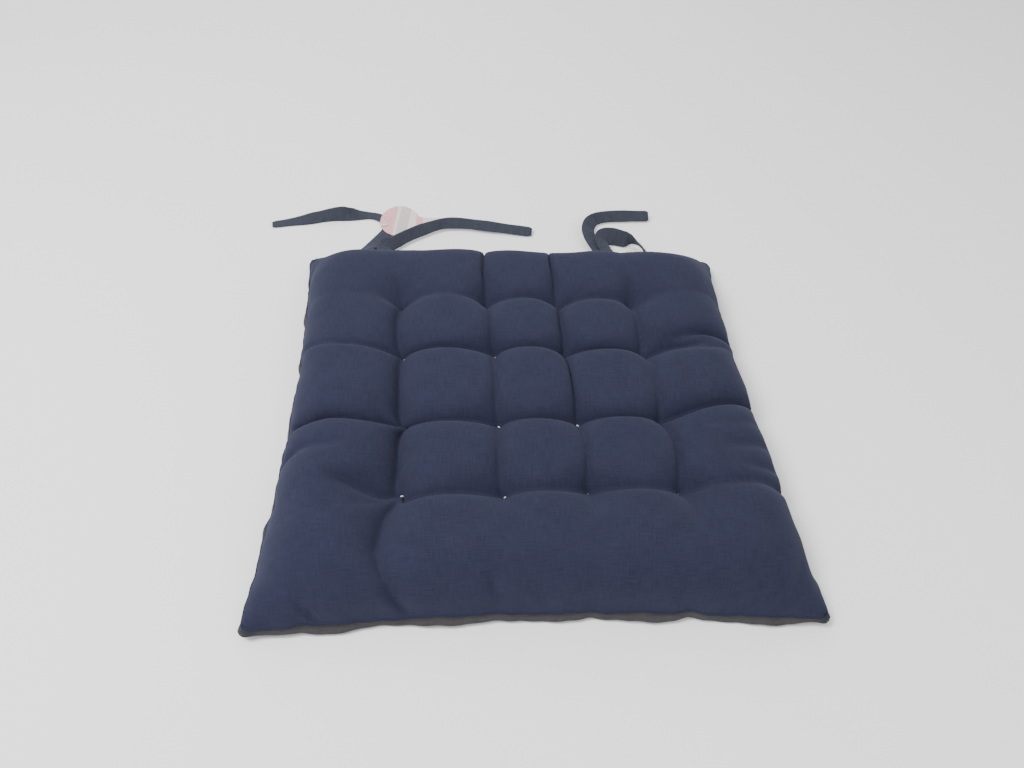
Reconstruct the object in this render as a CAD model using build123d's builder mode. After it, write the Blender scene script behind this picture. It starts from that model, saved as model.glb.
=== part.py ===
"""Tufted chair seat pad with two pairs of tie straps. Millimetres, +Z up.

The origin is the middle of the underside. The back edge, which carries the straps, is at +Y.
"""

import math
import os

from build123d import *

os.makedirs("parts", exist_ok=True)

# Driving dimensions of the pad
side = 400.0  # corner to corner along the seam
edge_pull = 9.0  # how far the middle of each edge pulls in between the corners
corner_radius = 7.0
height = 46.0
seam_height = 9.0  # the knife edge, where the two panels meet
cloth = 0.8
allowance = 10.0  # cloth turned in along the seam

# (height, distance in from the seam) up the crown and down the underside
crown_levels = ((seam_height, 0.0), (20.0, 5.5), (32.0, 13.5), (41.0, 24.0), (height, 40.0))
base_levels = ((0.0, 16.0), (2.0, 8.0), (5.0, 3.0), (seam_height, 0.0))

# Hand-sewn tufts: rows a to d from back to front, columns 1 to 4 from left to right
tuft_points = {
    "a": ((-104, 101), (-30, 107), (34, 101), (101, 107)),
    "b": ((-101, 42), (-23, 45), (35, 42), (101, 38)),
    "c": ((-95, -36), (-23, -36), (40, -35), (104, -35)),
    "d": ((-97, -102), (-21, -105), (41, -102), (109, -103)),
}
top_floor = 24.0  # bottom of a hollow in the upper panel
top_floor_radius = 4.0
base_floor = 8.0  # top of a hollow in the lower panel
base_floor_radius = 3.5
yarn_radius = 0.6
yarn_bar = (5.0, 1.6, 1.0)

# Perimeter seam and strap tacks
thread = 0.5
stitch_radius = 0.2
seam_inset = 3.0
seam_stitches = 12  # stitches through the allowances on each side
seam_stitch_pitch = 30.0
tack_stitches = 5
tack_pitch = 5.0
tack_inset = 10.0  # in from the strap root's outer end

# Tie straps
strap_width = 12.0
strap_thickness = 2 * cloth
strap_gap = 1.0
left_tie_x = -130.0
right_tie_x = 99.5
root_end = side / 2 - 1.5
root_depth = 15.0
rest = strap_thickness / 2  # centre of a strap that lies on the ground
over_tag = 3.7  # centre of the strap that lies over the tag
bend_share = 0.45  # part of the shorter run that an arc may use

# Paper tag and its nylon pin
tag_low = 2.0
card = 0.5
tag_centre = (-116.8, 278.5)
tag_half = (20.5, 26.5)
tail_start = (-102.0, 280.5)
tail_end = (-32.0, 277.5)
tail_width = 11.0
pin_point = (-132.5, 270.0)
pin_radius = 0.4
pin_hole_radius = 1.25
pin_bar = (1.1, 8.0, 1.0)
pin_head = (6.0, 3.0, 0.8)
pin_head_low = 3.0

tufts = {
    f"{row}{column}": point
    for row, points in tuft_points.items()
    for column, point in enumerate(points, 1)
}


def pad_outline(inset, mode=Mode.ADD):
    """Draw the square outline with pulled-in edges, taken in by inset all round."""
    half = side / 2 - inset
    corners = [(-half, -half), (half, -half), (half, half), (-half, half)]
    middles = [(0, edge_pull - half), (half - edge_pull, 0), (0, half - edge_pull), (edge_pull - half, 0)]
    with BuildSketch(mode=Mode.PRIVATE) as outline:
        with BuildLine():
            for start, middle, end in zip(corners, middles, corners[1:] + corners[:1]):
                ThreePointArc(start, middle, end)
        make_face()
        fillet(outline.vertices(), corner_radius)
    add(outline.sketch, mode=mode)


def hollow(floor, floor_radius, rim, rim_radius):
    """The smooth funnel that a tuft pulls into a panel, as a solid to cut away; rim lies past the panel."""
    rise = rim - floor
    spread = rim_radius - floor_radius
    with BuildPart() as funnel:
        with BuildSketch(Plane.XZ):
            with BuildLine():
                Line((0, floor), (floor_radius, floor))
                Bezier(
                    (floor_radius, floor),
                    (floor_radius + 0.3 * spread, floor),
                    (floor_radius + 0.5 * spread, floor + 0.9 * rise),
                    (rim_radius, rim),
                )
                Polyline((rim_radius, rim), (0, rim), (0, floor))
            make_face()
        revolve(axis=Axis.Z)
    return funnel.part


def crown(skin):
    """The pad above its seam, with its hollows, taken in by skin."""
    funnel = hollow(top_floor - skin, top_floor_radius + skin, height + 3 - skin, 33 + skin)
    with BuildPart() as form:
        for level, inset in crown_levels:
            drop = skin * (level - seam_height) / (height - seam_height)
            with BuildSketch(Plane.XY.offset(level - drop)):
                pad_outline(inset + 1.2 * skin)
        loft()
        with Locations(*tufts.values()):
            add(funnel, mode=Mode.SUBTRACT)
    return form.part


def base(skin):
    """The pad below its seam, with its hollows, taken in by skin."""
    funnel = hollow(base_floor + skin, base_floor_radius + skin, skin - 3, 25 + skin)
    with BuildPart() as form:
        for level, inset in base_levels:
            rise = skin * (seam_height - level) / seam_height
            with BuildSketch(Plane.XY.offset(level + rise)):
                pad_outline(inset + 1.2 * skin)
        loft()
        with Locations(*tufts.values()):
            add(funnel, mode=Mode.SUBTRACT)
    return form.part


def allowance_ring(low):
    """The strip of cloth turned in along the seam."""
    with BuildPart() as ring:
        with BuildSketch(Plane.XY.offset(low)):
            pad_outline(0.4)
            pad_outline(allowance, mode=Mode.SUBTRACT)
        extrude(amount=cloth)
    return ring.part


def bend_radii(route):
    """The largest tangent arc that each corner of a route has room for."""
    radii = []
    for before, corner, after in zip(route, route[1:], route[2:]):
        arriving = Vector(corner) - Vector(before)
        leaving = Vector(after) - Vector(corner)
        half_turn = math.radians(arriving.get_angle(leaving)) / 2
        radii.append(bend_share * min(arriving.length, leaving.length) / math.tan(half_turn))
    return radii


def finish(part, name):
    """Label a finished piece and write it."""
    part.label = name
    export_step(part, f"parts/{name}.step")


# Threads first, because the cloth is cut round them

# Tuft stitches: yarn through the whole pad, with a short bar on top and one below
tuft_stitches = {}
for tuft, point in tufts.items():
    lean = 15.0 if tuft[0] in "bd" else -25.0
    bar_height = yarn_bar[2]
    with BuildPart() as tuft_stitch:
        with BuildSketch(Plane.XY.offset(base_floor - bar_height / 2)):
            Circle(yarn_radius)
        extrude(amount=top_floor - base_floor + bar_height)
        for level in (base_floor - bar_height / 2, top_floor + bar_height / 2):
            with Locations(Location((0, 0, level), (0, 0, lean))):
                Box(*yarn_bar)
    tuft_stitches[tuft] = Pos(*point) * tuft_stitch.part
    finish(tuft_stitches[tuft], f"tuft_stitch_{tuft}")

# Edge seam: a run of thread above and below the two allowances, joined by stitches
with BuildPart() as edge_seam_thread:
    for low in (seam_height + cloth, seam_height - cloth - thread):
        with BuildSketch(Plane.XY.offset(low)):
            pad_outline(seam_inset)
            pad_outline(seam_inset + thread, mode=Mode.SUBTRACT)
        extrude(amount=thread)
    sagitta_radius = (side**2 / 4 + edge_pull**2) / (2 * edge_pull)
    half = side / 2 - seam_inset - thread / 2
    with BuildSketch(Plane.XY.offset(seam_height - cloth)):
        for step in range(seam_stitches):
            along = (step - (seam_stitches - 1) / 2) * seam_stitch_pitch
            bow = math.sqrt(sagitta_radius**2 - along**2) - (sagitta_radius - edge_pull)
            with PolarLocations(0, 4):
                with Locations((along, bow - half)):
                    Circle(stitch_radius)
    extrude(amount=2 * cloth)
finish(edge_seam_thread.part, "edge_seam_thread")

# Strap tacks: a short row of stitches across each folded strap, inside the seam
tacks = {}
roots = {}
for hand, tie_x in (("left", left_tie_x), ("right", right_tie_x)):
    tack_y = root_end - tack_inset
    with BuildPart() as tack:
        with Locations((tie_x, tack_y, seam_height)):
            with GridLocations(tack_pitch, 1, tack_stitches, 1):
                Cylinder(stitch_radius, 2 * cloth)
        for level in (seam_height + cloth + thread / 2, seam_height - cloth - thread / 2):
            with Locations((tie_x, tack_y, level)):
                Box(tack_pitch * (tack_stitches - 1) + 2 * thread, thread, thread)
    finish(tack.part, f"tie_{hand}_tack")
    tacks[hand] = tack.part

    # The folded strap where it is sewn in: flat between the allowances, both tails side by side
    with BuildPart() as root:
        with Locations((tie_x, root_end - root_depth / 2, seam_height)):
            Box(2 * strap_width + strap_gap, root_depth, strap_thickness)
        add(tack.part, mode=Mode.SUBTRACT)
        add(edge_seam_thread.part, mode=Mode.SUBTRACT)
        with Locations((tie_x, root_end, seam_height)):
            Box(strap_gap, 2 * strap_gap, strap_thickness, mode=Mode.SUBTRACT)
    finish(root.part, f"tie_{hand}_root")
    roots[hand] = root.part

inner_crown = crown(cloth)
inner_base = base(cloth)
upper_allowance = allowance_ring(seam_height)
lower_allowance = allowance_ring(seam_height - cloth)
sewn_in = [edge_seam_thread.part, *tacks.values(), *roots.values(), *tuft_stitches.values()]

# Upper panel: a thin crowned shell, with its allowance turned in
with BuildPart() as cover_top:
    add(crown(0))
    add(inner_crown, mode=Mode.SUBTRACT)
    add(upper_allowance)
    add(sewn_in, mode=Mode.SUBTRACT)
finish(cover_top.part, "cover_top")

# Lower panel: a shallow shell, flat where it rests
with BuildPart() as cover_bottom:
    add(base(0))
    add(inner_base, mode=Mode.SUBTRACT)
    add(lower_allowance)
    add(sewn_in, mode=Mode.SUBTRACT)
finish(cover_bottom.part, "cover_bottom")

# Filling: all the room between the panels
with BuildPart() as fibre_filling:
    add(inner_crown)
    add(inner_base)
    add([upper_allowance, lower_allowance], mode=Mode.SUBTRACT)
    add(sewn_in, mode=Mode.SUBTRACT)
finish(fibre_filling.part, "fibre_filling")

# Tag pin: a bar held inside the strap, a post through the tag's hole and a flat head above it
with BuildPart() as tag_pin:
    with BuildSketch(Plane.XY.offset(rest)):
        with Locations(pin_point):
            Circle(pin_radius)
    extrude(amount=pin_head_low + pin_head[2] / 2 - rest)
    with Locations((*pin_point, rest)):
        Box(*pin_bar)
    with Locations((*pin_point, pin_head_low + pin_head[2] / 2)):
        Box(*pin_head)
finish(tag_pin.part, "tag_pin")

# Swing tag: an oval card with a narrow paper tail and a hole for the pin
with BuildPart() as swing_tag:
    with BuildSketch(Plane.XY.offset(tag_low)):
        with Locations(tag_centre):
            Ellipse(*tag_half)
        with BuildLine():
            Line(tail_start, tail_end)
        trace(line_width=tail_width)
        with Locations(pin_point):
            Circle(pin_hole_radius, mode=Mode.SUBTRACT)
    extrude(amount=card)
finish(swing_tag.part, "swing_tag")

# Strap tails, from the root's end to the tip. Each route is the centre line of the flat strap.
left_of = (strap_width + strap_gap) / 2
tail_routes = {
    "tie_left_tail_outer": (
        (left_tie_x - left_of, root_end, seam_height),
        (left_tie_x - left_of, 206, seam_height),
        (left_tie_x - left_of, 221, rest),
        (left_tie_x - left_of, 236, rest),
        (-133, 249, rest),
        (-129, 261, rest),
        (-128.5, 274, rest),
        (-135, 285, rest),
        (-149, 291, rest),
        (-166, 292.8, rest),
        (-182, 291, rest),
        (-199, 286, rest),
        (-216, 279.5, rest),
        (-233, 275, rest),
        (-250, 271.5, rest),
    ),
    "tie_left_tail_inner": (
        (left_tie_x + left_of, root_end, seam_height),
        (left_tie_x + left_of, 206, seam_height),
        (left_tie_x + left_of, 218, over_tag),
        (left_tie_x + left_of, 228, over_tag),
        (-119, 238.5, over_tag),
        (-109, 248.5, over_tag),
        (-97, 257.5, over_tag),
        (-83, 266.5, over_tag),
        (-69, 273.5, over_tag),
        (-52, 274, over_tag),
        (-33, 270.5, over_tag),
        (-13, 266.5, over_tag),
        (4, 263, rest),
        (24, 260, rest),
    ),
    "tie_right_tail_inner": (
        (right_tie_x - left_of, root_end, seam_height),
        (right_tie_x - left_of, 206, seam_height),
        (right_tie_x - left_of, 221, rest),
        (right_tie_x - left_of, 235, rest),
        (88.5, 248, rest),
        (83.5, 260, rest),
        (84, 274, rest),
        (91.5, 285.5, rest),
        (104, 290.5, rest),
        (120, 292.5, rest),
        (137, 292.8, rest),
        (154, 293.3, rest),
    ),
    "tie_right_tail_outer": (
        (right_tie_x + left_of, root_end, seam_height),
        (right_tie_x + left_of, 206, seam_height),
        (right_tie_x + left_of, 221, rest),
        (right_tie_x + left_of, 233, rest),
        (108.5, 244, rest),
        (116.5, 251.5, rest),
        (127.5, 252, rest),
        (137, 246, rest),
        (142.5, 235, rest),
        (146, 222, rest),
        (153, 211.5, rest),
        (164.5, 206.5, rest),
        (178, 205.5, rest),
    ),
}
tails = {}
for name, route in tail_routes.items():
    radii = bend_radii(route)
    with BuildPart() as tail:
        with BuildLine() as path:
            FilletPolyline(*route, radius=radii)
        with BuildSketch(Plane(route[0], x_dir=(1, 0, 0), z_dir=(0, 1, 0))):
            Rectangle(strap_width, strap_thickness)
        sweep()
        add(tag_pin.part, mode=Mode.SUBTRACT)
    finish(tail.part, name)
    tails[name] = tail.part
    length = path.wires()[0].length
    fullness = tail.part.volume / (length * strap_width * strap_thickness)
    print(name, "length", round(length, 1), "volume over section times length", round(fullness, 4))
    print("  radii", [round(radius, 1) for radius in radii])
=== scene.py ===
"""Looks of the tufted chair seat pad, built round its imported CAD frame. Metres, +Z up."""

import math

import bmesh
import bpy
import numpy as np
from mathutils import Matrix, Vector


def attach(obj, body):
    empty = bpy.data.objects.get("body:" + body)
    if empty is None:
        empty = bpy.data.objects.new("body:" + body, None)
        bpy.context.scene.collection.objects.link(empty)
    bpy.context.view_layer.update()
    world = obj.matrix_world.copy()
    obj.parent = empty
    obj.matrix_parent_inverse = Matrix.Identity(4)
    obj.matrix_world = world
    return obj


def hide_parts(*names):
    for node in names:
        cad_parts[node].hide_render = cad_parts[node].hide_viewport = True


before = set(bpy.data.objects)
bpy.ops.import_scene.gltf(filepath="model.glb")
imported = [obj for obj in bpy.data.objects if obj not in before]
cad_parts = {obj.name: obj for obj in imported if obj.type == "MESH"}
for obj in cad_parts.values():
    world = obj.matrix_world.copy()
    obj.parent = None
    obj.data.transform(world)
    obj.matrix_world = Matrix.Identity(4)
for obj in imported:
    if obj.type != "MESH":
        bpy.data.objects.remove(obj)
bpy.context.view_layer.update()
rng = np.random.default_rng(7)

# ---------------------------------------------------------------- sizes

HALF = 0.200  # half of the pad's side, corner to corner
EDGE_PULL = 0.009  # how far the middle of each edge pulls in
SEAM_Z = 0.009
CLOTH = 0.0008
ROLL = 0.0014  # how far each panel's rim stands off the seam's groove
TOP_FLOOR = 0.024  # height of the upper panel under a tuft stitch
BASE_FLOOR = 0.008  # height of the lower panel over a tuft stitch
PUFF_TOP = 0.0455  # the filling pushes no higher than this
FILLING_GAP = 0.0013  # the filling stays this far inside the cloth

CELL = 0.0023  # spacing of the threads the cloth is worked out at
MARGIN_CELLS = 48  # from the cut edge to the first tuft
PITCH_CELLS = 32  # from tuft to tuft
TUFT_LINES = [MARGIN_CELLS + PITCH_CELLS * k for k in range(4)]
CELLS = 2 * MARGIN_CELLS + 3 * PITCH_CELLS

TUFTS = {
    "a": ((-0.104, 0.101), (-0.030, 0.107), (0.034, 0.101), (0.101, 0.107)),
    "b": ((-0.101, 0.042), (-0.023, 0.045), (0.035, 0.042), (0.101, 0.038)),
    "c": ((-0.095, -0.036), (-0.023, -0.036), (0.040, -0.035), (0.104, -0.035)),
    "d": ((-0.097, -0.102), (-0.021, -0.105), (0.041, -0.102), (0.109, -0.103)),
}

STRAP_WIDTH = 0.012
STRAP_THICK = 0.0016
FLOOR_GAP = 0.0002  # the lowest that a strap lies

TAG_CENTRE = (-0.1168, 0.2785)
TAG_HALF = (0.0205, 0.0265)
TAG_LOW = 0.0020
TAG_CARD = 0.0004
PIN = (-0.1325, 0.270)
PIN_HOLE = 0.00125
CARD_FRONT = 0.247  # the card's reach as it swings, along y and x
CARD_LEFT = -0.152

# ---------------------------------------------------------------- camera


def aim_camera():
    """A 29 mm lens, held in front of and above the pad and turned a little."""
    yaw, pitch, roll = (math.radians(a) for a in (5.54, 45.51, 3.82))
    ahead = Vector((math.sin(yaw) * math.cos(pitch), math.cos(yaw) * math.cos(pitch), -math.sin(pitch)))
    level = Vector((math.cos(yaw), -math.sin(yaw), 0))
    upright = level.cross(ahead)
    right = math.cos(roll) * level + math.sin(roll) * upright
    up = -math.sin(roll) * level + math.cos(roll) * upright
    camera = bpy.data.objects.new("camera", bpy.data.cameras.new("camera"))
    bpy.context.scene.collection.objects.link(camera)
    camera.data.sensor_width = 36
    camera.data.lens = 29.32
    turn = Matrix((right, up, -ahead)).transposed().to_4x4()
    camera.matrix_world = Matrix.Translation((-0.0576, -0.4746, 0.5228)) @ turn
    bpy.context.scene.camera = camera


aim_camera()

# ---------------------------------------------------------------- materials


class Paint:
    """A material and short ways to add nodes to it."""

    def __init__(self, name, roughness=0.9, **inputs):
        self.material = bpy.data.materials.new(name)
        self.material.use_nodes = True
        self.nodes = self.material.node_tree.nodes
        self.links = self.material.node_tree.links
        self.shader = self.nodes["Principled BSDF"]
        self.shader.inputs["Roughness"].default_value = roughness
        for key, value in inputs.items():
            self.shader.inputs[key.replace("_", " ")].default_value = value

    def node(self, kind, inputs=(), **settings):
        made = self.nodes.new(kind)
        for key, value in settings.items():
            setattr(made, key, value)
        for key, value in dict(inputs).items():
            if hasattr(value, "is_output"):
                self.links.new(value, made.inputs[key])
            else:
                made.inputs[key].default_value = value
        return made

    def math(self, operation, a, b=0.0, c=0.0):
        return self.node("ShaderNodeMath", {0: a, 1: b, 2: c}, operation=operation).outputs[0]

    def mix(self, share, a, b, blend="MIX"):
        made = self.node("ShaderNodeMix", {0: share, 6: a, 7: b}, data_type="RGBA", blend_type=blend)
        return made.outputs[2]

    def noise(self, place, scale, detail=2.0, stretch=(1, 1, 1)):
        mapped = self.node("ShaderNodeMapping", {"Vector": place, "Scale": stretch}).outputs[0]
        inputs = {"Vector": mapped, "Scale": scale, "Detail": detail}
        return self.node("ShaderNodeTexNoise", inputs).outputs[0]

    def ramp(self, value, low, high):
        made = self.node("ShaderNodeMapRange", {0: value, 1: low, 2: high}, clamp=True)
        return made.outputs[0]

    def link(self, output, name):
        self.links.new(output, self.shader.inputs[name])

    def bump(self, height, distance, strength=1.0):
        made = self.node("ShaderNodeBump", {"Height": height, "Distance": distance, "Strength": strength})
        self.link(made.outputs[0], "Normal")


def cotton(name, dark, light, weave=1250.0):
    """Plain-woven cotton with uneven, slubby threads; its UVs are metres of cloth."""
    paint = Paint(name, 0.94, Sheen_Weight=0.06, Sheen_Roughness=0.6, Specular_IOR_Level=0.12)
    paint.shader.inputs["Sheen Tint"].default_value = (0.62, 0.68, 1.0, 1)
    cloth = paint.node("ShaderNodeUVMap", uv_map="cloth").outputs[0]
    warp_slub = paint.noise(cloth, 1300.0, 3.0, (1, 0.07, 1))
    weft_slub = paint.noise(cloth, 1300.0, 3.0, (0.07, 1, 1))
    blotch = paint.noise(cloth, 55.0, 3.0)
    parts = paint.node("ShaderNodeSeparateXYZ", {0: cloth})
    turn = 2 * math.pi * weave / 2
    over = paint.math("SINE", paint.math("MULTIPLY", parts.outputs[0], turn))
    under = paint.math("SINE", paint.math("MULTIPLY", parts.outputs[1], turn))
    crossing = paint.math("MULTIPLY_ADD", paint.math("MULTIPLY", over, under), 0.5, 0.5)
    slub = paint.math("ADD", paint.math("MULTIPLY", warp_slub, 0.5), paint.math("MULTIPLY", weft_slub, 0.5))
    tone = paint.ramp(paint.math("MULTIPLY_ADD", blotch, 0.2, slub), 0.40, 0.80)
    tone = paint.math("MULTIPLY_ADD", crossing, 0.16, paint.math("MULTIPLY", tone, 0.84))
    paint.link(paint.mix(tone, (*dark, 1), (*light, 1)), "Base Color")
    fuzz = paint.noise(cloth, 2600.0, 2.0)
    height = paint.math("ADD", paint.math("MULTIPLY", slub, 0.7), paint.math("MULTIPLY", crossing, 0.3))
    height = paint.math("MULTIPLY_ADD", fuzz, 0.25, height)
    paint.bump(height, 0.0003, 0.6)
    return paint.material


def yarn(name, dark, light, scale):
    """Twisted thread: fine slanting fibres in two tones."""
    paint = Paint(name, 0.85, Sheen_Weight=0.2)
    place = paint.node("ShaderNodeTexCoord").outputs["Object"]
    fibres = paint.noise(place, scale, 4.0, (1, 1, 0.35))
    paint.link(paint.mix(paint.ramp(fibres, 0.3, 0.7), (*dark, 1), (*light, 1)), "Base Color")
    paint.bump(fibres, 0.0002, 0.8)
    return paint.material


def printed_card(name, centre, half):
    """Coated card: a pink field with a small ring, a slanted pale band, a grey field with short broken bars
    and a pale margin."""
    paint = Paint(name, 0.5, Specular_IOR_Level=0.4)
    place = paint.node("ShaderNodeTexCoord").outputs["Object"]
    parts = paint.node("ShaderNodeSeparateXYZ", {0: place})
    x = paint.math("MULTIPLY", paint.math("SUBTRACT", parts.outputs[0], centre[0]), 1 / half[0])
    y = paint.math("MULTIPLY", paint.math("SUBTRACT", parts.outputs[1], centre[1]), 1 / half[1])
    slant = paint.math("MULTIPLY_ADD", y, -0.12, x)
    fibres = paint.noise(place, 900.0, 4.0)
    blotch = paint.noise(place, 260.0, 3.0)
    white = paint.mix(fibres, (0.62, 0.53, 0.53, 1), (0.80, 0.70, 0.70, 1))
    pink = paint.mix(blotch, (0.62, 0.31, 0.315, 1), (0.78, 0.42, 0.425, 1))
    grey = paint.mix(blotch, (0.44, 0.425, 0.405, 1), (0.58, 0.56, 0.54, 1))
    rows = paint.math("GREATER_THAN", paint.math("SINE", paint.math("MULTIPLY", y, 46.0)), 0.15)
    broken = paint.math("GREATER_THAN", paint.noise(place, 420.0, 1.0, (1, 3, 1)), 0.47)
    bars = paint.math("MULTIPLY", paint.math("MULTIPLY", rows, broken), 0.3)
    grey = paint.mix(bars, grey, (0.33, 0.315, 0.305, 1))
    colour = paint.mix(paint.math("GREATER_THAN", slant, -0.22), pink, white)
    colour = paint.mix(paint.math("GREATER_THAN", slant, -0.06), colour, grey)
    colour = paint.mix(paint.math("GREATER_THAN", slant, 0.48), colour, white)
    tip = paint.math("MULTIPLY", paint.math("GREATER_THAN", x, 0.86), paint.math("LESS_THAN", x, 1.20))
    colour = paint.mix(tip, colour, pink)
    dot_x = paint.math("POWER", paint.math("ADD", x, 0.60), 2.0)
    dot_y = paint.math("POWER", paint.math("SUBTRACT", y, 0.16), 2.0)
    dot = paint.math("SQRT", paint.math("ADD", dot_x, dot_y))
    ring = paint.math("LESS_THAN", paint.math("ABSOLUTE", paint.math("SUBTRACT", dot, 0.16)), 0.035)
    colour = paint.mix(paint.math("MULTIPLY", ring, 0.4), colour, (0.32, 0.27, 0.28, 1))
    paint.link(colour, "Base Color")
    paint.bump(fibres, 0.00006, 0.5)
    return paint.material


def loose_fibre(name):
    """White fibre filling: soft tangled strands."""
    paint = Paint(name, 1.0, Sheen_Weight=0.4)
    place = paint.node("ShaderNodeTexCoord").outputs["Object"]
    strands = paint.noise(place, 260.0, 6.0, (1, 1, 3))
    paint.link(paint.mix(strands, (0.60, 0.59, 0.55, 1), (0.86, 0.85, 0.81, 1)), "Base Color")
    paint.bump(strands, 0.001, 0.8)
    return paint.material


def clear_nylon(name):
    """Cloudy nylon of the tag's pin."""
    paint = Paint(name, 0.28, Transmission_Weight=0.35, IOR=1.53)
    place = paint.node("ShaderNodeTexCoord").outputs["Object"]
    cloud = paint.noise(place, 1500.0, 2.0)
    paint.link(paint.mix(cloud, (0.72, 0.72, 0.70, 1), (0.86, 0.86, 0.84, 1)), "Base Color")
    paint.bump(cloud, 0.00003, 0.4)
    return paint.material


NAVY = cotton("navy_cotton", (0.0122, 0.0134, 0.0292), (0.0246, 0.0262, 0.0510))
# The lower panel's navy cotton is coloured a lighter neutral grey-brown: painted warm bounce light, not the
# cloth's own navy
NAVY_UNDER_PAINTED_BOUNCE = cotton("navy_cotton_underside_painted_bounce", (0.032, 0.0295, 0.032), (0.061, 0.057, 0.0585))
STRAP_NAVY = cotton("navy_strap", (0.0238, 0.0268, 0.0385), (0.0500, 0.0550, 0.0735))
NAVY_THREAD = yarn("navy_thread", (0.014, 0.017, 0.036), (0.040, 0.046, 0.084), 4200.0)
WHITE_YARN = yarn("white_yarn", (0.46, 0.44, 0.41), (0.82, 0.80, 0.76), 3600.0)
FIBRE = loose_fibre("loose_fibre")
NYLON = clear_nylon("clear_nylon")

# ---------------------------------------------------------------- mesh helpers


def piece(name, points, faces, material, uvs=None, smooth=True):
    """A new mesh object; uvs has one pair for each point."""
    mesh = bpy.data.meshes.new(name)
    mesh.from_pydata([tuple(p) for p in points], [], [tuple(int(k) for k in f) for f in faces])
    mesh.materials.append(material)
    layer = mesh.uv_layers.new(name="cloth")
    if uvs is None:
        uvs = np.asarray(points)[:, :2]
    corners = np.empty(len(mesh.loops), np.int32)
    mesh.loops.foreach_get("vertex_index", corners)
    layer.data.foreach_set("uv", np.asarray(uvs, np.float32)[corners].ravel())
    mesh.polygons.foreach_set("use_smooth", [smooth] * len(mesh.polygons))
    made = bpy.data.objects.new(name, mesh)
    bpy.context.scene.collection.objects.link(made)
    return made


def apply_modifiers(made):
    """Bake a piece's modifiers into its mesh."""
    depsgraph = bpy.context.evaluated_depsgraph_get()
    mesh = bpy.data.meshes.new_from_object(made.evaluated_get(depsgraph), depsgraph=depsgraph)
    made.modifiers.clear()
    made.data = mesh


def unit(v):
    """Vectors of length one, the same way."""
    return v / np.maximum(np.linalg.norm(v, axis=-1, keepdims=True), 1e-12)


def loft_rings(rings, closed_ends=True):
    """Points and faces of a skin through rings of equal count, with caps."""
    count = len(rings[0])
    points = [p for ring in rings for p in ring]
    faces = []
    for k in range(len(rings) - 1):
        for m in range(count):
            n = (m + 1) % count
            faces.append((k * count + m, k * count + n, (k + 1) * count + n, (k + 1) * count + m))
    if closed_ends:
        faces.append(tuple(range(count - 1, -1, -1)))
        last = (len(rings) - 1) * count
        faces.append(tuple(range(last, last + count)))
    return points, faces


def tube(line, radius, sides=8, phase=0.0):
    """Points and faces of a round tube along a line of points."""
    line = np.asarray(line, float)
    ahead = unit(np.gradient(line, axis=0))
    across = unit(np.cross(ahead, (0.13, 0.21, 0.97)))
    rings = []
    for p, t, a in zip(line, ahead, across):
        b = np.cross(t, a)
        turns = [phase + 2 * math.pi * k / sides for k in range(sides)]
        rings.append([p + radius * (math.cos(w) * a + math.sin(w) * b) for w in turns])
    return loft_rings(rings)


def joined(parts):
    """One list of points and faces from several."""
    points, faces = [], []
    for some_points, some_faces in parts:
        base = len(points)
        points += [tuple(p) for p in some_points]
        faces += [tuple(base + k for k in face) for face in some_faces]
    return points, faces


# ---------------------------------------------------------------- tie straps

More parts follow.
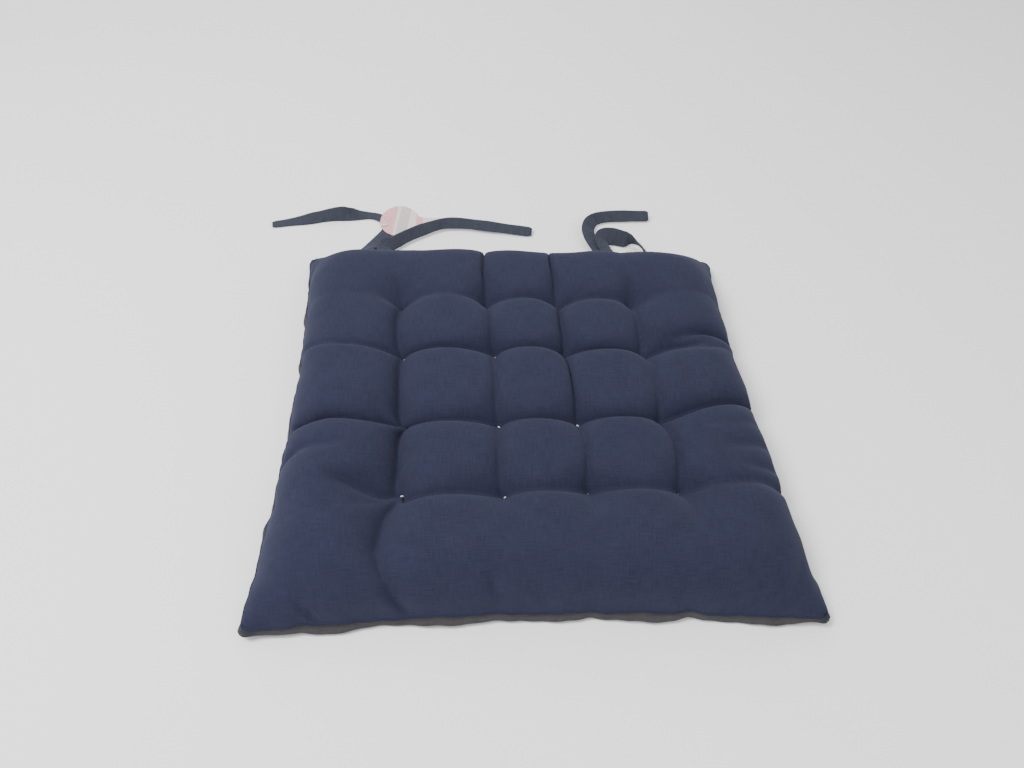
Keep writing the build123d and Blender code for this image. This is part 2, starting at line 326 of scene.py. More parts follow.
# Centre lines of the four tails, from the strap's root in the seam to the tip.
# Beside each point: how far the flat strap is rolled there, in degrees, from lying flat, and how
# wide the sewn tube stands open against its pressed width.
TAILS = {
    "tie_left_tail_outer": (
        (-0.1365, 0.1985, 0.0090, 0, 1.0),
        (-0.1410, 0.206, 0.0098, 12, 1.4),
        (-0.1495, 0.2165, 0.0085, 26, 1.5),
        (-0.1435, 0.2300, 0.0040, 16, 1.5),
        (-0.1375, 0.2440, 0.0012, 2, 1.25),
        (-0.129, 0.261, 0.0010, 0, 1.0),
        (-0.1285, 0.274, 0.0010, 0, 1.0),
        (-0.135, 0.285, 0.0011, 0, 1.0),
        (-0.147, 0.2905, 0.0011, 0, 1.0),
        (-0.158, 0.2890, 0.0021, 16, 1.1),
        (-0.171, 0.2850, 0.0068, 58, 1.25),
        (-0.184, 0.2832, 0.0072, 66, 1.25),
        (-0.199, 0.2802, 0.0060, 56, 1.05),
        (-0.216, 0.2772, 0.0036, 34, 0.95),
        (-0.233, 0.275, 0.0016, 10, 0.9),
        (-0.250, 0.2715, 0.0010, 0, 0.9),
    ),
    "tie_left_tail_inner": (
        (-0.1235, 0.1985, 0.0090, 0, 1.0),
        (-0.1255, 0.206, 0.0096, -4, 1.4),
        (-0.1290, 0.218, 0.0090, -16, 1.5),
        (-0.1275, 0.228, 0.0086, -34, 1.35),
        (-0.119, 0.2321, 0.0084, -46, 1.1),
        (-0.109, 0.2421, 0.0084, -48, 1.1),
        (-0.097, 0.2511, 0.0084, -48, 1.05),
        (-0.083, 0.2604, 0.0082, -46, 1.0),
        (-0.069, 0.2680, 0.0078, -42, 1.0),
        (-0.052, 0.2690, 0.0074, -40, 1.0),
        (-0.033, 0.2661, 0.0070, -36, 1.0),
        (-0.013, 0.2642, 0.0056, -28, 1.0),
        (0.004, 0.2627, 0.0042, -22, 1.0),
        (0.024, 0.260, 0.0032, -18, 1.0),
    ),
    "tie_right_tail_inner": (
        (0.093, 0.1985, 0.0090, 0, 1.0),
        (0.093, 0.206, 0.0094, 0, 1.0),
        (0.0925, 0.220, 0.0066, 0, 1.2),
        (0.0900, 0.2302, 0.0062, -10, 1.45),
        (0.0860, 0.2429, 0.0066, -16, 1.5),
        (0.0830, 0.2545, 0.0076, -24, 1.45),
        (0.0850, 0.2676, 0.0078, -34, 1.3),
        (0.0925, 0.2794, 0.0072, -44, 1.1),
        (0.105, 0.2845, 0.0068, -46, 1.1),
        (0.120, 0.2865, 0.0064, -42, 1.05),
        (0.137, 0.2879, 0.0058, -38, 1.05),
        (0.154, 0.2885, 0.0054, -36, 1.05),
    ),
    "tie_right_tail_outer": (
        (0.106, 0.1985, 0.0090, 0, 1.0),
        (0.103, 0.206, 0.0098, 0, 1.0),
        (0.0985, 0.219, 0.0096, -4, 1.0),
        (0.0950, 0.231, 0.0094, -14, 1.2),
        (0.0965, 0.2445, 0.0098, -34, 1.5),
        (0.1090, 0.2450, 0.0092, -54, 1.52),
        (0.1205, 0.2400, 0.0088, -62, 1.45),
        (0.1290, 0.2410, 0.0080, -104, 0.95),
        (0.1355, 0.2340, 0.0072, -132, 0.85),
        (0.1395, 0.2240, 0.0060, -138, 0.85),
        (0.1440, 0.2130, 0.0040, -158, 0.9),
        (0.158, 0.2065, 0.0012, -180, 1.0),
        (0.175, 0.2055, 0.0010, -180, 1.0),
    ),
}


def follow(route):
    """Points along a smooth line, read from a NURBS spline with the route as its control points."""
    curve = bpy.data.curves.new("route", "CURVE")
    curve.dimensions = "3D"
    curve.resolution_u = 10
    spline = curve.splines.new("NURBS")
    spline.points.add(len(route) - 1)
    for point, place in zip(spline.points, route):
        point.co = (*place[:3], 1)
    spline.order_u = 3
    spline.use_endpoint_u = True
    holder = bpy.data.objects.new("route", curve)
    bpy.context.scene.collection.objects.link(holder)
    mesh = bpy.data.meshes.new_from_object(holder)
    line = np.array([v.co for v in mesh.vertices], float)
    bpy.data.objects.remove(holder)
    bpy.data.meshes.remove(mesh)
    bpy.data.curves.remove(curve)
    return line


def strap_section(count=20):
    """Half-width and half-thickness shares round a turned and pressed fabric tube."""
    section = []
    for k in range(count):
        w = 2 * math.pi * k / count
        across = math.copysign(abs(math.cos(w)) ** 0.55, math.cos(w))
        through = math.copysign(abs(math.sin(w)) ** 0.8, math.sin(w))
        section.append((across, through))
    return section


def flat_strap(name, route, seed):
    """A flat cotton strap that follows its route, rolled as the route says, with a square sewn end."""
    line = follow(route)
    rough = np.array(route, float)
    run = np.concatenate([[0], np.cumsum(np.linalg.norm(np.diff(rough[:, :3], axis=0), axis=1))])
    travelled = np.concatenate([[0], np.cumsum(np.linalg.norm(np.diff(line, axis=0), axis=1))])
    roll = np.radians(np.interp(travelled / travelled[-1], run / run[-1], rough[:, 3]))
    spread = np.interp(travelled / travelled[-1], run / run[-1], rough[:, 4])
    ahead = unit(np.gradient(line, axis=0))
    side = unit(np.cross(ahead, (0, 0, 1)))
    lift = np.cross(side, ahead)
    wobble = np.random.default_rng(seed)
    phases = wobble.uniform(0, 2 * math.pi, 4)
    rings, uvs = [], []
    for p, s, u, w, d, wide in zip(line, side, lift, roll, travelled, spread):
        width_way = math.cos(w) * s + math.sin(w) * u
        thick_way = -math.sin(w) * s + math.cos(w) * u
        half = STRAP_WIDTH / 2 * wide * (1 + 0.035 * math.sin(170 * d + phases[0]))
        plump = STRAP_THICK / 2 * (1.0 + 0.25 * math.sin(330 * d + phases[1]))
        from_tip = travelled[-1] - d
        plump *= 0.7 + 0.3 * min(1.0, from_tip / 0.004)
        half *= 1 - 0.22 * max(0.0, 1 - from_tip / 0.0022) ** 2
        ripple = 0.00025 * math.sin(900 * d + phases[2])
        ring = []
        for m, (across, through) in enumerate(strap_section()):
            edge_pinch = 1 - 0.45 * max(0.0, -across) ** 6
            ring.append(
                p
                + width_way * half * across
                + thick_way * (plump * through * edge_pinch + ripple * (1 - abs(across)))
            )
            uvs.append((0.03 * seed + half * across, d + 0.001 * through))
        rings.append(ring)
    points, faces = loft_rings(rings)
    points = np.array(points)
    points[:, 2] = np.maximum(points[:, 2], FLOOR_GAP)
    if name == "tie_left_tail_outer":
        # The card lies on this one and keeps it flat wherever the card can swing
        outside = np.maximum(0, CARD_FRONT - points[:, 1]) + np.maximum(0, CARD_LEFT - points[:, 0])
        points[:, 2] = np.minimum(points[:, 2], TAG_LOW - 0.00005 + 0.5 * outside)
    made = piece(f"{name}_strap", points, faces, STRAP_NAVY, uvs)
    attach(made, "pad")
    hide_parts(name)
    return made, line


for seed, (name, route) in enumerate(TAILS.items(), 1):
    flat_strap(name, route, seed)

# ---------------------------------------------------------------- the two panels


def edge_bow(along):
    """How far an edge stands in from the line between its corners."""
    return EDGE_PULL * (1 - (along / HALF) ** 2)


def smooth_noise(count, waves, size, seed):
    """A row of smooth random values."""
    draw = np.random.default_rng(seed)
    t = np.linspace(0, 1, count)
    row = np.zeros(count)
    for wave in waves:
        row += draw.normal() * np.sin(2 * math.pi * wave * t + draw.uniform(0, 2 * math.pi))
    return size * row / math.sqrt(len(waves))


def rim_distance():
    """How far along the cloth each grid point is from the nearest edge."""
    index = np.arange(CELLS + 1)
    from_end = np.minimum(index, index[::-1])
    return np.minimum.outer(from_end, from_end) * CELL


def spread_lines(tuft_line):
    """Where each thread line of the cloth lies between the two seams, through the tufts' mean places."""
    knots = [0, *TUFT_LINES, CELLS]
    return np.interp(np.arange(CELLS + 1), knots, [-HALF, *tuft_line, HALF])


def first_lay():
    """The plan of the cloth before it is filled: x and y of each crossing."""
    columns = [np.mean([TUFTS[row][c][0] for row in "abcd"]) for c in range(4)]
    rows = [np.mean([p[1] for p in TUFTS[row]]) for row in "dcba"]
    x = spread_lines(columns)
    y = spread_lines(rows)
    plan = np.dstack(np.meshgrid(x, y, indexing="ij"))
    # Tufts that were sewn a little off the grid drag the cloth round them
    drift = np.zeros_like(plan)
    for r, row in enumerate("dcba"):
        for c in range(4):
            off = np.array(TUFTS[row][c]) - (columns[c], rows[r])
            reach = (plan[..., 0] - columns[c]) ** 2 + (plan[..., 1] - rows[r]) ** 2
            drift += off * np.exp(-reach / (2 * 0.02**2))[..., None]
    plan += drift
    # The edges pull in between the corners
    inward = plan / HALF
    bow_x = edge_bow(plan[..., 1]) * inward[..., 0] ** 5
    bow_y = edge_bow(plan[..., 0]) * inward[..., 1] ** 5
    plan[..., 0] -= bow_x
    plan[..., 1] -= bow_y
    return plan


SIDES = ("front", "right", "back", "left")


def side_index(side):
    """The grid places of one edge, and the way out of the pad there."""
    last = CELLS
    runs = np.arange(last + 1)
    if side == "front":
        return (runs, np.zeros_like(runs)), np.array((0, -1.0))
    if side == "right":
        return (np.full_like(runs, last), runs), np.array((1.0, 0))
    if side == "back":
        return (runs[::-1], np.full_like(runs, last)), np.array((0, 1.0))
    return (np.zeros_like(runs), runs[::-1]), np.array((-1.0, 0))


def sewn_edge(plan):
    """The seam: the plan's rim with gathers, rounded corners, and its height."""
    height = np.full(plan.shape[:2], SEAM_Z)
    runs = np.arange(CELLS + 1)
    for k, side in enumerate(SIDES):
        place, out = side_index(side)
        gather = smooth_noise(CELLS + 1, (7, 11, 17, 23), 0.0006, 20 + k)
        lobes = -0.0022 * sum(np.exp(-(((runs - line) / 4.5) ** 2)) for line in TUFT_LINES)
        if side in ("front", "back"):
            lobes = 0.4 * lobes
        calm = np.minimum(1, np.minimum(runs, runs[::-1]) / 12)
        plan[place] += ((gather + lobes) * calm)[:, None] * out
        height[place] += smooth_noise(CELLS + 1, (3, 5, 9, 14), 0.0009, 40 + k) * calm
    # Corners: rounded, the back left one kept more pointed
    for i, j, soft in ((0, 0, 1.0), (CELLS, 0, 1.1), (CELLS, CELLS, 1.5), (0, CELLS, 0.6)):
        centre_way = -np.sign(np.array((i, j)) - CELLS / 2)
        for reach in range(4):
            pull = 0.0022 * soft * (1 - reach / 4) ** 2
            along = int(centre_way[0]) * reach, int(centre_way[1]) * reach
            plan[i + along[0], j] += pull * centre_way
            if reach:
                plan[i, j + along[1]] += pull * centre_way
    return height


def tuft_places():
    """(grid column, grid row, x, y) of every tuft."""
    return [
        (TUFT_LINES[c], TUFT_LINES[r], *TUFTS[row][c]) for r, row in enumerate("dcba") for c in range(4)
    ]


def halves(grid, axis, start):
    """The lower and upper ends of every second thread length along an axis, as views of the grid."""
    if axis == 0:
        low = grid[start:-1:2]
        high = grid[start + 1 :: 2][: low.shape[0]]
    else:
        low = grid[:, start:-1:2]
        high = grid[:, start + 1 :: 2][:, : low.shape[1]]
    return low, high


def pull_together(low, high, low_free, high_free, rest, tight, slack):
    """Move the ends of thread lengths towards their rest length: firmly if long, softly if short."""
    span = high - low
    length = np.sqrt((span * span).sum(-1))
    error = (length - rest) / np.maximum(length, 1e-9)
    share = np.where(error > 0, tight, slack) * error / np.maximum(low_free + high_free, 1)[..., 0]
    move = share[..., None] * span
    low += low_free * move
    high -= high_free * move


def keep_apart(low, high, low_free, high_free, gap):
    """Neighbouring folds press on each other and don't pass through."""
    short = np.maximum(0, gap - (high - low)) / np.maximum(low_free + high_free, 1)
    low -= low_free * short
    high += high_free * short


def neighbour_mean(grid):
    """The mean of each inner point's four neighbours."""
    return 0.25 * (grid[2:, 1:-1] + grid[:-2, 1:-1] + grid[1:-1, 2:] + grid[1:-1, :-2])


def relax(points, held, rest_x, rest_y, push, load, steps, bend, full_height=None, ground=None):
    """Blow a sewn and tufted panel up against its threads, as its filling does.

    Each step adds the filling's push, and the creases' load, to the last move, then shortens the threads
    that are too long, keeps neighbours apart and smooths the cloth by its stiffness, bend.
    """
    free = (~held).astype(float)[..., None]
    across_x = 0.5 * (rest_x[:, :-1] + rest_x[:, 1:])
    across_y = 0.5 * (rest_y[:-1] + rest_y[1:])
    slant = np.sqrt(across_x**2 + across_y**2)
    gap = 0.2 * rest_x.mean()
    before = points.copy()
    for _ in range(steps):
        push_out = np.zeros_like(points)
        normal = np.cross(points[2:, 1:-1] - points[:-2, 1:-1], points[1:-1, 2:] - points[1:-1, :-2])
        push_out[1:-1, 1:-1] = unit(normal) * push
        if full_height is not None:
            push_out *= np.clip((full_height - points[..., 2:]) / 0.003, -0.6, 1)
        drift = (points - before) * 0.92
        before = points.copy()
        points += (drift + push_out + load) * free
        for start in (0, 1):
            for axis, rest in ((0, rest_x), (1, rest_y)):
                low, high = halves(points, axis, start)
                low_free, high_free = halves(free, axis, start)
                some = rest[start::2] if axis == 0 else rest[:, start::2]
                pull_together(low, high, low_free, high_free, some, 1.0, 0.30)
                keep_apart(low[..., axis], high[..., axis], low_free[..., 0], high_free[..., 0], gap)
        for start in (0, 1):
            some = slant[start::2]
            for left, right in ((slice(None, -1), slice(1, None)), (slice(1, None), slice(None, -1))):
                low, high = halves(points, 0, start)
                low_free, high_free = halves(free, 0, start)
                pull_together(
                    low[:, left], high[:, right], low_free[:, left], high_free[:, right], some, 0.25, 0.10
                )
        curve = np.zeros_like(points)
        curve[1:-1, 1:-1] = neighbour_mean(points) - points[1:-1, 1:-1]
        change = np.zeros_like(points)
        change[1:-1, 1:-1] = neighbour_mean(curve) - curve[1:-1, 1:-1]
        points -= bend * change * free
        if ground is not None:
            points[..., 2] = np.maximum(points[..., 2], ground)
    return points


def finer(coarse):
    """A grid with a new point halfway between each two."""
    count = 2 * len(coarse) - 1
    fine = np.zeros((count, count, 3))
    fine[::2, ::2] = coarse
    fine[1::2, ::2] = 0.5 * (coarse[:-1] + coarse[1:])
    fine[:, 1::2] = 0.5 * (fine[:, :-1:2] + fine[:, 2::2])
    return fine


def fill_panel(points, held, rest_x, rest_y, push, load, steps, **limits):
    """Fill the panel on every second thread first, then on all."""
    half = (slice(None, None, 2),) * 2
    coarse_x = rest_x[::2, ::2] + rest_x[1::2, ::2]
    coarse_y = rest_y[::2, ::2] + rest_y[::2, 1::2]
    coarse = points[half].copy()
    relax(coarse, held[half], coarse_x, coarse_y, push, load[half], steps[0], 0.05, **limits)
    fine = finer(coarse)
    fine[held] = points[held]
    return relax(fine, held, rest_x, rest_y, 0.6 * push, 0.7 * load, steps[1], 0.04, **limits)


def rest_lengths(points, ease, edge_ease):
    """Thread lengths of the cut cloth, longer than the pad's own span by ease between the tufts and by
    edge_ease round them. Along the seam they are taken in, so that the rim only gathers finely."""
    index = np.arange(CELLS + 1)
    near = np.exp(-((np.minimum(index, index[::-1]) * CELL / 0.014) ** 2))
    between = (index[:-1] >= TUFT_LINES[0]) & (index[:-1] < TUFT_LINES[-1])
    eases = np.where(between, ease, edge_ease)
    laid_x = np.linalg.norm(np.diff(points[..., :2], axis=0), axis=-1)
    laid_y = np.linalg.norm(np.diff(points[..., :2], axis=1), axis=-1)
    mean_x = (eases * laid_x.mean(1))[:, None]
    mean_y = (eases * laid_y.mean(0))[None, :]
    # The front is stuffed tighter than the rest, so fewer folds run down to it
    front = np.clip((TUFT_LINES[0] - index) / 12, 0, 1)
    mean_x = mean_x * (1 - 0.035 * front)[None, :]
    rest_x = mean_x * (1 - near)[None, :] + 1.05 * laid_x * near[None, :]
    rest_y = mean_y * (1 - near)[:, None] + 1.05 * laid_y * near[:, None]
    return rest_x, rest_y


def crease_lines():
    """Lines in plan where the filling gives way, each with how deep it is: between the tufts, out to the
    edges, and a few loose folds."""
    lines = []
    across = {"a": (0.12, 0.45, 0.7, 1.0, 0.25), "b": (0.25, 0.7, 0.8, 1.0, 0.4)}
    across |= {"c": (0.0, 1.1, 1.1, 1.0, 0.0), "d": (0.0, 1.15, 1.15, 1.1, 0.0)}
    for row, depths in across.items():
        places = TUFTS[row]
        stops = [(places[0][0] - 0.075, places[0][1] + 0.004), *places]
        stops.append((places[3][0] + 0.070, places[3][1] + 0.004))
        lines += [((a, b), depth) for a, b, depth in zip(stops, stops[1:], depths)]
    along = ((0.0, 2.8, 2.3, 1.6, 0.2), (0.2, 1.0, 0.7, 0.4, 0.75), (0.0, 0.45, 0.8, 1.0, 0.5))
    along += ((0.3, 0.9, 1.0, 1.2, 0.3),)
    for column, depths in enumerate(along):
        places = [TUFTS[row][column] for row in "dcba"]
        stops = [(places[0][0], places[0][1] - 0.045), *places, (places[3][0], places[3][1] + 0.060)]
        lines += [((a, b), depth) for a, b, depth in zip(stops, stops[1:], depths)]
    lines += [
        # left edge
        (((-0.185, -0.037), (-0.154, -0.031), (-0.124, -0.033), (-0.095, -0.036)), 1.0),
        (((-0.186, -0.069), (-0.167, -0.063), (-0.144, -0.066)), 0.5),
        (((-0.134, -0.092), (-0.116, -0.097), (-0.097, -0.102)), 2.2),
        (((-0.128, -0.112), (-0.112, -0.108), (-0.097, -0.102)), 0.7),
        # right edge
        (((0.101, 0.038), (0.124, 0.047), (0.146, 0.047)), 0.9),
        (((0.128, 0.056), (0.145, 0.061), (0.158, 0.063), (0.184, 0.059)), 0.8),
        (((0.104, -0.035), (0.131, -0.026), (0.153, -0.020), (0.180, -0.018)), 1.2),
        (((0.134, -0.050), (0.171, -0.046)), 0.35),
        (((0.142, -0.070), (0.171, -0.065)), 0.8),
        (((0.109, -0.103), (0.135, -0.100), (0.158, -0.099), (0.183, -0.105)), 1.0),
        (((0.150, -0.085), (0.176, -0.086)), 0.8),
        # front edge
        (((-0.097, -0.102), (-0.102, -0.120), (-0.105, -0.146)), 2.8),
        (((-0.105, -0.146), (-0.102, -0.164)), 1.0),
        (((-0.098, -0.172), (-0.094, -0.181), (-0.085, -0.192)), 1.1),
        (((-0.031, -0.168), (-0.028, -0.192)), 0.9),
        (((0.144, -0.165), (0.144, -0.190)), 0.8),
        (((0.172, -0.160), (0.165, -0.190)), 0.5),
        (((-0.158, -0.173), (-0.150, -0.192)), 0.9),
        (((0.096, -0.170), (0.090, -0.193)), 0.7),
        (((0.030, -0.182), (0.034, -0.192)), 0.3),
    ]
    return lines


def distance_to(plan, stops):
    """How far each grid point is in plan from a line through stops."""
    nearest = np.full(plan.shape[:2], 1.0)
    for a, b in zip(stops, stops[1:]):
        a, b = np.array(a), np.array(b)
        share = np.clip(((plan - a) @ (b - a)) / ((b - a) @ (b - a)), 0, 1)
        gap = plan - (a + share[..., None] * (b - a))
        nearest = np.minimum(nearest, np.sqrt((gap**2).sum(-1)))
    return nearest


def crease_load(plan, strength):
    """A downward push along every crease line."""
    depth = np.zeros(plan.shape[:2])
    for stops, share in crease_lines():
        depth = np.maximum(depth, share * np.exp(-((distance_to(plan, stops) / 0.0022) ** 2)))
    load = np.zeros((*plan.shape[:2], 3))
    load[..., 2] = -strength * depth
    return load


def make_panels():
    """The upper and lower panels, filled, as grids of points."""
    plan = first_lay()
    seam_height = sewn_edge(plan)
    count = CELLS + 1
    rim = np.zeros((count, count), bool)
    rim[0] = rim[-1] = rim[:, 0] = rim[:, -1] = True
    to_rim = rim_distance()
    bump_noise = rng.normal(0, 0.0002, (count, count))
    panels = {}
    for panel, floor, rise in (("top", TOP_FLOOR, 0.030), ("base", BASE_FLOOR, -0.0085)):
        reach = 0.045 if panel == "top" else 0.014
        shape = 1 - np.clip(1 - to_rim / reach, 0, 1) ** 2
        height = seam_height + rise * shape + bump_noise * (~rim)
        points = np.dstack([plan, height])
        held = rim.copy()
        for _, _, x, y in tuft_places():
            away = (plan[..., 0] - x) ** 2 + (plan[..., 1] - y) ** 2
            dip = np.exp(-away / (2 * 0.012**2))
            points[..., 2] += (floor - points[..., 2]) * dip * (~rim)
        for i, j, x, y in tuft_places():
            points[i - 1 : i + 2, j - 1 : j + 2, 2] = floor
            points[i, j] = (x, y, floor)
            held[i, j] = True
        if panel == "top":
            rest_x, rest_y = rest_lengths(points, ease=1.11, edge_ease=1.115)
            load = crease_load(plan, strength=8.5e-5)
            steps = ((550, 220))
            limits = {"push": 2.4e-5, "full_height": PUFF_TOP}
        else:
            rest_x, rest_y = rest_lengths(points, ease=1.03, edge_ease=1.13)
            load = np.zeros_like(points)
            steps = ((300, 80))
            limits = {"push": -2.0e-5, "ground": 0.0}
        panels[panel] = fill_panel(points, held, rest_x, rest_y, load=load, steps=steps, **limits)
    return panels


def grid_faces(count, flipped):
    """Four-sided faces of a square grid."""
    faces = []
    for i in range(count - 1):
        for j in range(count - 1):
            a, b = i * count + j, (i + 1) * count + j
            face = (a, b, b + 1, a + 1)
            faces.append(face[::-1] if flipped else face)
    return faces


def rim_loop(count):
    """Grid places round the rim, counter-clockwise from above."""
    last = count - 1
    loop = [(i, 0) for i in range(last)]
    loop += [(last, j) for j in range(last)]
    loop += [(i, last) for i in range(last, 0, -1)]
    loop += [(0, j) for j in range(last, 0, -1)]
    return loop


def rim_frame(points):
    """Places round the rim and the level way out of the pad at each."""
    loop = rim_loop(len(points))
    places = np.array([points[i, j] for i, j in loop])
    ahead = np.roll(places, -2, axis=0) - np.roll(places, 2, axis=0)
    out = unit(np.stack([ahead[:, 1], -ahead[:, 0], np.zeros(len(ahead))], -1))
    return loop, places, out


def panel_piece(name, points, upper, material):
    """A panel as thin cloth, with its edge rolled in to the seam's groove."""
    count = len(points)
    loop, places, out = rim_frame(points)
    flat = np.dstack(np.meshgrid(np.arange(count), np.arange(count), indexing="ij")).reshape(-1, 2) * CELL
    all_points = list(points.reshape(-1, 3))
    uvs = list(flat)
    faces = grid_faces(count, flipped=not upper)
    sign = 1 if upper else -1
    rolled = ((0.0008, 0.0012), (0.0009, 0.0006), (0.0003, 0.00025), (-0.0012, 0.0001))
    previous = [i * count + j for i, j in loop]
    for step, (outward, above) in enumerate(rolled):
        start = len(all_points)
        for p, o, (i, j) in zip(places, out, loop):
            all_points.append(p + o * outward + np.array((0, 0, sign * (above - ROLL))))
            uvs.append(np.array((i, j)) * CELL + o[:2] * 0.001 * (step + 1))
        ring = list(range(start, start + len(loop)))
        for k in range(len(loop)):
            n = (k + 1) % len(loop)
            face = (previous[k], ring[k], ring[n], previous[n])
            faces.append(face if upper else face[::-1])
        previous = ring
    made = piece(name, all_points, faces, material, uvs)
    thick = made.modifiers.new("cloth", "SOLIDIFY")
    thick.thickness = CLOTH
    thick.offset = -1
    apply_modifiers(made)
    return made


def off_the_seam(points, lift):
    """The panel with its rim raised or lowered from the seam's groove by the height of its roll."""
    return points + np.exp(-((rim_distance() / 0.006) ** 2))[..., None] * np.array((0, 0, lift))


def press_out(points, seam_points):
    """Under the seam the filling presses the lower panel out in shallow lobes."""
    loop, _, out = rim_frame(seam_points)
    lobes = 0.0038 + smooth_noise(len(loop), (9, 14, 22, 31), 0.0014, 70)
    inward_at = {0: 1, CELLS: -1}
    for (i, j), way, lobe in zip(loop, out, lobes):
        step_i, step_j = inward_at.get(i, 0), inward_at.get(j, 0)
        if step_i and step_j:
            continue
        for depth in range(1, 6):
            place = i + step_i * depth, j + step_j * depth
            points[place] += way * lobe * math.sin(math.pi * depth / 6)


panels = make_panels()
top_points = off_the_seam(panels["top"], ROLL)
base_points = off_the_seam(panels["base"], -ROLL)
base_points[..., 2] = np.maximum(base_points[..., 2], 0.0)
press_out(base_points, panels["base"])

cover_top = panel_piece("cover_top_cloth", top_points, True, NAVY)
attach(cover_top, "pad")
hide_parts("cover_top")
# The lower panel wears the cotton whose grey-brown colour is painted bounce light
cover_bottom = panel_piece("cover_bottom_cloth", base_points, False, NAVY_UNDER_PAINTED_BOUNCE)
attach(cover_bottom, "pad")
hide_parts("cover_bottom")


def lowest_near(height, reach):
    """The lowest height within reach grid steps of each point."""
    for axis in (0, 1):
        spread = height
        for step in range(-reach, reach + 1):
            spread = np.minimum(spread, np.roll(height, step, axis))
        height = spread
    return height


def filling_piece():
    """The fibre between the panels, a little inside both."""
    upper, lower = top_points.copy(), base_points.copy()
    upper[..., 2] = lowest_near(upper[..., 2], 4) - FILLING_GAP
    lower[..., 2] = -lowest_near(-lower[..., 2], 4) + FILLING_GAP
    # It stops four threads short of the seam, clear of the cloth that hangs out over it
    inner = (slice(4, -4, 2),) * 2
    shrink = np.array((0.965, 0.965, 1))
    upper, lower = shrink * upper[inner], shrink * lower[inner]
    count = len(upper)
    middle = 0.5 * (top_points + base_points)[inner][..., 2]
    upper[..., 2] = np.maximum(upper[..., 2], middle + 0.0002)
    lower[..., 2] = np.minimum(np.maximum(lower[..., 2], 0.0012), middle - 0.0002)
    faces = grid_faces(count, False) + [
        tuple(k + count * count for k in face) for face in grid_faces(count, True)
    ]
    loop = [i * count + j for i, j in rim_loop(count)]
    for k, place in enumerate(loop):
        following = loop[(k + 1) % len(loop)]
        faces.append((place, place + count * count, following + count * count, following))
    points = np.concatenate([upper.reshape(-1, 3), lower.reshape(-1, 3)])
    return piece("fibre_filling_pad", points, faces, FIBRE)


filling = filling_piece()
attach(filling, "pad")
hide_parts("fibre_filling")

# ---------------------------------------------------------------- threads


def seam_stitches():
    """Short stitches in the groove between the panels, all the way round."""
    _, places, out = rim_frame(panels["top"])
    parts = []
    for k in range(len(places)):
        a, b = places[k], places[(k + 1) % len(places)]
        start = a + (b - a) * 0.12 - out[k] * 0.0002
        end = a + (b - a) * 0.88 - out[k] * 0.0002
        middle = (start + end) / 2 + out[k] * 0.0003
        parts.append(tube([start, middle, end], 0.00022, 6))
    return joined(parts)


stitches = piece("edge_seam_stitches", *seam_stitches(), NAVY_THREAD)
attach(stitches, "pad")
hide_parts("edge_seam_thread")


def tuft_yarn(x, y, lean, sunk):
    """A doubled and twisted yarn: through the pad, with a short stitch on top and one below."""
    reach, strand, twist = 0.0013, 0.00034, 0.0003
    way = np.array((math.cos(lean), math.sin(lean), 0))
    side = np.array((-way[1], way[0], 0))
    parts = []
    for level, up in ((TOP_FLOOR + 0.0002 - sunk, 1), (BASE_FLOOR - 0.0002, -1)):
        for phase in (0, math.pi):
            line = []
            for step in np.linspace(-1, 1, 15):
                arch = up * (0.0011 * (1 - step**4) - 0.0012 * step**4)
                turn = 5.5 * step + phase
                place = np.array((x, y, level + arch)) + way * reach * step
                line.append(place + twist * (math.cos(turn) * side + math.sin(turn) * np.array((0, 0, 1))))
            parts.append(tube(line, strand, 8))
    for phase in (0, math.pi):
        line = []
        for step in np.linspace(0, 1, 24):
            turn = 22 * step + phase
            z = BASE_FLOOR + (TOP_FLOOR - BASE_FLOOR) * step
            line.append(np.array((x + twist * math.cos(turn), y + twist * math.sin(turn), z)))
        parts.append(tube(line, strand, 8))
    return joined(parts)


for row, row_places in TUFTS.items():
    for column, (tuft_x, tuft_y) in enumerate(row_places, 1):
        node = f"tuft_stitch_{row}{column}"
        lean = math.radians(15 if row in "bd" else -25)
        sunk = 0.0 if f"{row}{column}" in ("c2", "c3", "d2") else 0.0013
        stitch = piece(f"{node}_yarn", *tuft_yarn(tuft_x, tuft_y, lean, sunk), WHITE_YARN)
        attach(stitch, "pad")
        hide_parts(node)

for name in ("tie_left_tack", "tie_right_tack"):
    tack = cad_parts[name]
    tack.data.materials.clear()
    tack.data.materials.append(NAVY_THREAD)

# ---------------------------------------------------------------- strap roots


def strap_root(name, node, x, seed):
    """The folded middle of a strap, sewn in: two flat legs that meet in a fold inside the seam."""
    parts = []
    section = strap_section()
    for hand in (-1, 1):
        rings = []
        for step in np.linspace(0, 1, 10):
            centre = np.array((x + hand * (0.0065 - 0.0035 * step**2), 0.1989 - 0.013 * step, SEAM_Z))
            half = STRAP_WIDTH / 2 * (1.02 - 0.25 * step)
            plump = STRAP_THICK / 2 * (1.15 + 0.2 * math.sin(9 * step + seed))
            rings.append([centre + np.array((half * a, 0, plump * t)) for a, t in section])
        parts.append(loft_rings(rings))
    made = piece(name, *joined(parts), STRAP_NAVY)
    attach(made, "pad")
    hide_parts(node)


strap_root("tie_left_root_fold", "tie_left_root", -0.130, 1)
strap_root("tie_right_root_fold", "tie_right_root", 0.0995, 2)

# ---------------------------------------------------------------- tag


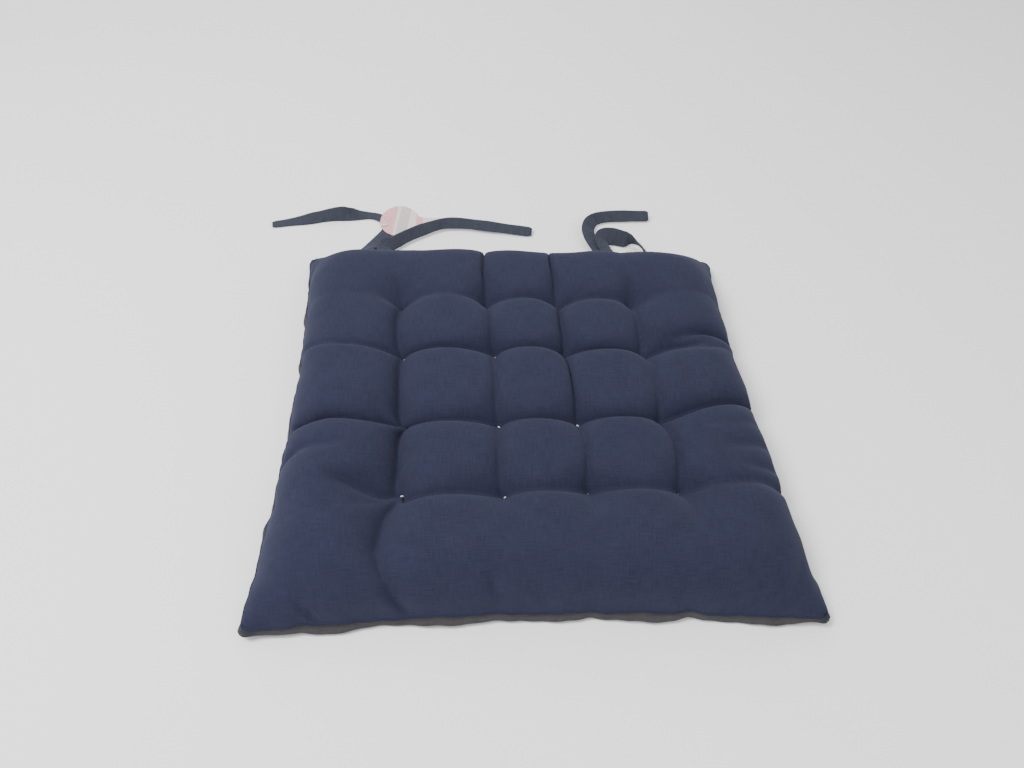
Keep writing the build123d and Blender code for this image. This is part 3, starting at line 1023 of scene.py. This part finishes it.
def tag_outline():
    """The oval card's rim, running out into its narrow paper tail."""
    tail_start, tail_end, half = np.array((-0.102, 0.2805)), np.array((-0.032, 0.2775)), 0.0055
    way = unit(tail_end - tail_start)
    side = np.array((-way[1], way[0]))
    centre = np.array(TAG_CENTRE)
    rim = []
    for k in range(97):
        turn = math.radians(20) + math.radians(328) * k / 96
        rim.append(centre + np.array(TAG_HALF) * (math.cos(turn), math.sin(turn)))
    tail = [tail_start - side * half + way * 0.009]
    tail += [tail_end - side * half - way * 0.001, tail_end - side * half * 0.7]
    tail += [tail_end + side * half * 0.7, tail_end + side * half - way * 0.001]
    tail += [tail_start + side * half + way * 0.009]
    return rim + tail


def make_tag(material):
    """The card, cut from a fine net, a little curled, with a hole for its pin."""
    net = bmesh.new()
    rim = [net.verts.new((*p, 0)) for p in tag_outline()]
    hole = [
        net.verts.new((PIN[0] + PIN_HOLE * math.cos(w), PIN[1] + PIN_HOLE * math.sin(w), 0))
        for w in (2 * math.pi * k / 20 for k in range(20))
    ]
    edges = [net.edges.new((a, b)) for a, b in zip(rim, rim[1:] + rim[:1])]
    edges += [net.edges.new((a, b)) for a, b in zip(hole, hole[1:] + hole[:1])]
    bmesh.ops.triangle_fill(net, use_beauty=True, edges=edges)
    for axis, low, high in ((0, -0.140, -0.020), (1, 0.252, 0.310)):
        for place in np.arange(low, high, 0.003):
            at = [0.0, 0.0, 0.0]
            way = [0.0, 0.0, 0.0]
            at[axis], way[axis] = place, 1.0
            geometry = net.verts[:] + net.edges[:] + net.faces[:]
            bmesh.ops.bisect_plane(net, geom=geometry, plane_co=at, plane_no=way)
    for v in net.verts:
        along = (v.co.x - TAG_CENTRE[0]) / TAG_HALF[0]
        back = (v.co.y - TAG_CENTRE[1]) / TAG_HALF[1]
        curl = 0.0012 * max(0.0, back) ** 2 + 0.0003 * max(0.0, along - 1) * math.sin(3 * along)
        v.co.z = TAG_LOW + 0.00005 + curl
    bmesh.ops.recalc_face_normals(net, faces=net.faces[:])
    mesh = bpy.data.meshes.new("swing_tag_card")
    net.to_mesh(mesh)
    net.free()
    if mesh.polygons[0].normal.z < 0:
        mesh.flip_normals()
    mesh.uv_layers.new(name="cloth")
    mesh.materials.append(material)
    made = bpy.data.objects.new("swing_tag_card", mesh)
    bpy.context.scene.collection.objects.link(made)
    thick = made.modifiers.new("card", "SOLIDIFY")
    thick.thickness = TAG_CARD
    thick.offset = 1
    apply_modifiers(made)
    return made


tag = make_tag(printed_card("printed_card", TAG_CENTRE, TAG_HALF))
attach(tag, "tag")
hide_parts("swing_tag")

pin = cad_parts["tag_pin"]
pin.data.materials.clear()
pin.data.materials.append(NYLON)

# ---------------------------------------------------------------- floor and light


def studio():
    """A plain pale floor, a broad soft light from the front left and a pale room."""
    paint = Paint("pale_floor", 0.95)
    place = paint.node("ShaderNodeTexCoord").outputs["Object"]
    grain = paint.noise(place, 30.0, 3.0)
    paint.link(paint.mix(grain, (0.95, 0.95, 0.95, 1), (0.97, 0.97, 0.97, 1)), "Base Color")
    reach = 4.0
    floor = piece(
        "floor",
        [(-reach, -reach, 0), (reach, -reach, 0), (reach, reach, 0), (-reach, reach, 0)],
        [(0, 1, 2, 3)],
        paint.material,
    )
    floor.location.z = -0.0002
    world = bpy.data.worlds.new("room")
    world.use_nodes = True
    world.node_tree.nodes["Background"].inputs["Color"].default_value = (1, 1, 1, 1)
    world.node_tree.nodes["Background"].inputs["Strength"].default_value = 0.86
    bpy.context.scene.world = world
    for name, place, target, size, power in (
        ("key", (-0.9, -0.3, 1.4), (0, 0, 0), 0.7, 31),
        ("fill", (0.9, -1.1, 1.2), (0, 0, 0), 1.2, 8),
        ("back", (-0.3, 1.4, 1.1), (0, 0.1, 0), 1.0, 8),
    ):
        lamp = bpy.data.objects.new(name, bpy.data.lights.new(name, "AREA"))
        lamp.data.shape = "DISK"
        lamp.data.size = size
        lamp.data.energy = power
        lamp.location = place
        lamp.rotation_mode = "QUATERNION"
        lamp.rotation_quaternion = (Vector(target) - Vector(place)).to_track_quat("-Z", "Y")
        bpy.context.scene.collection.objects.link(lamp)


studio()
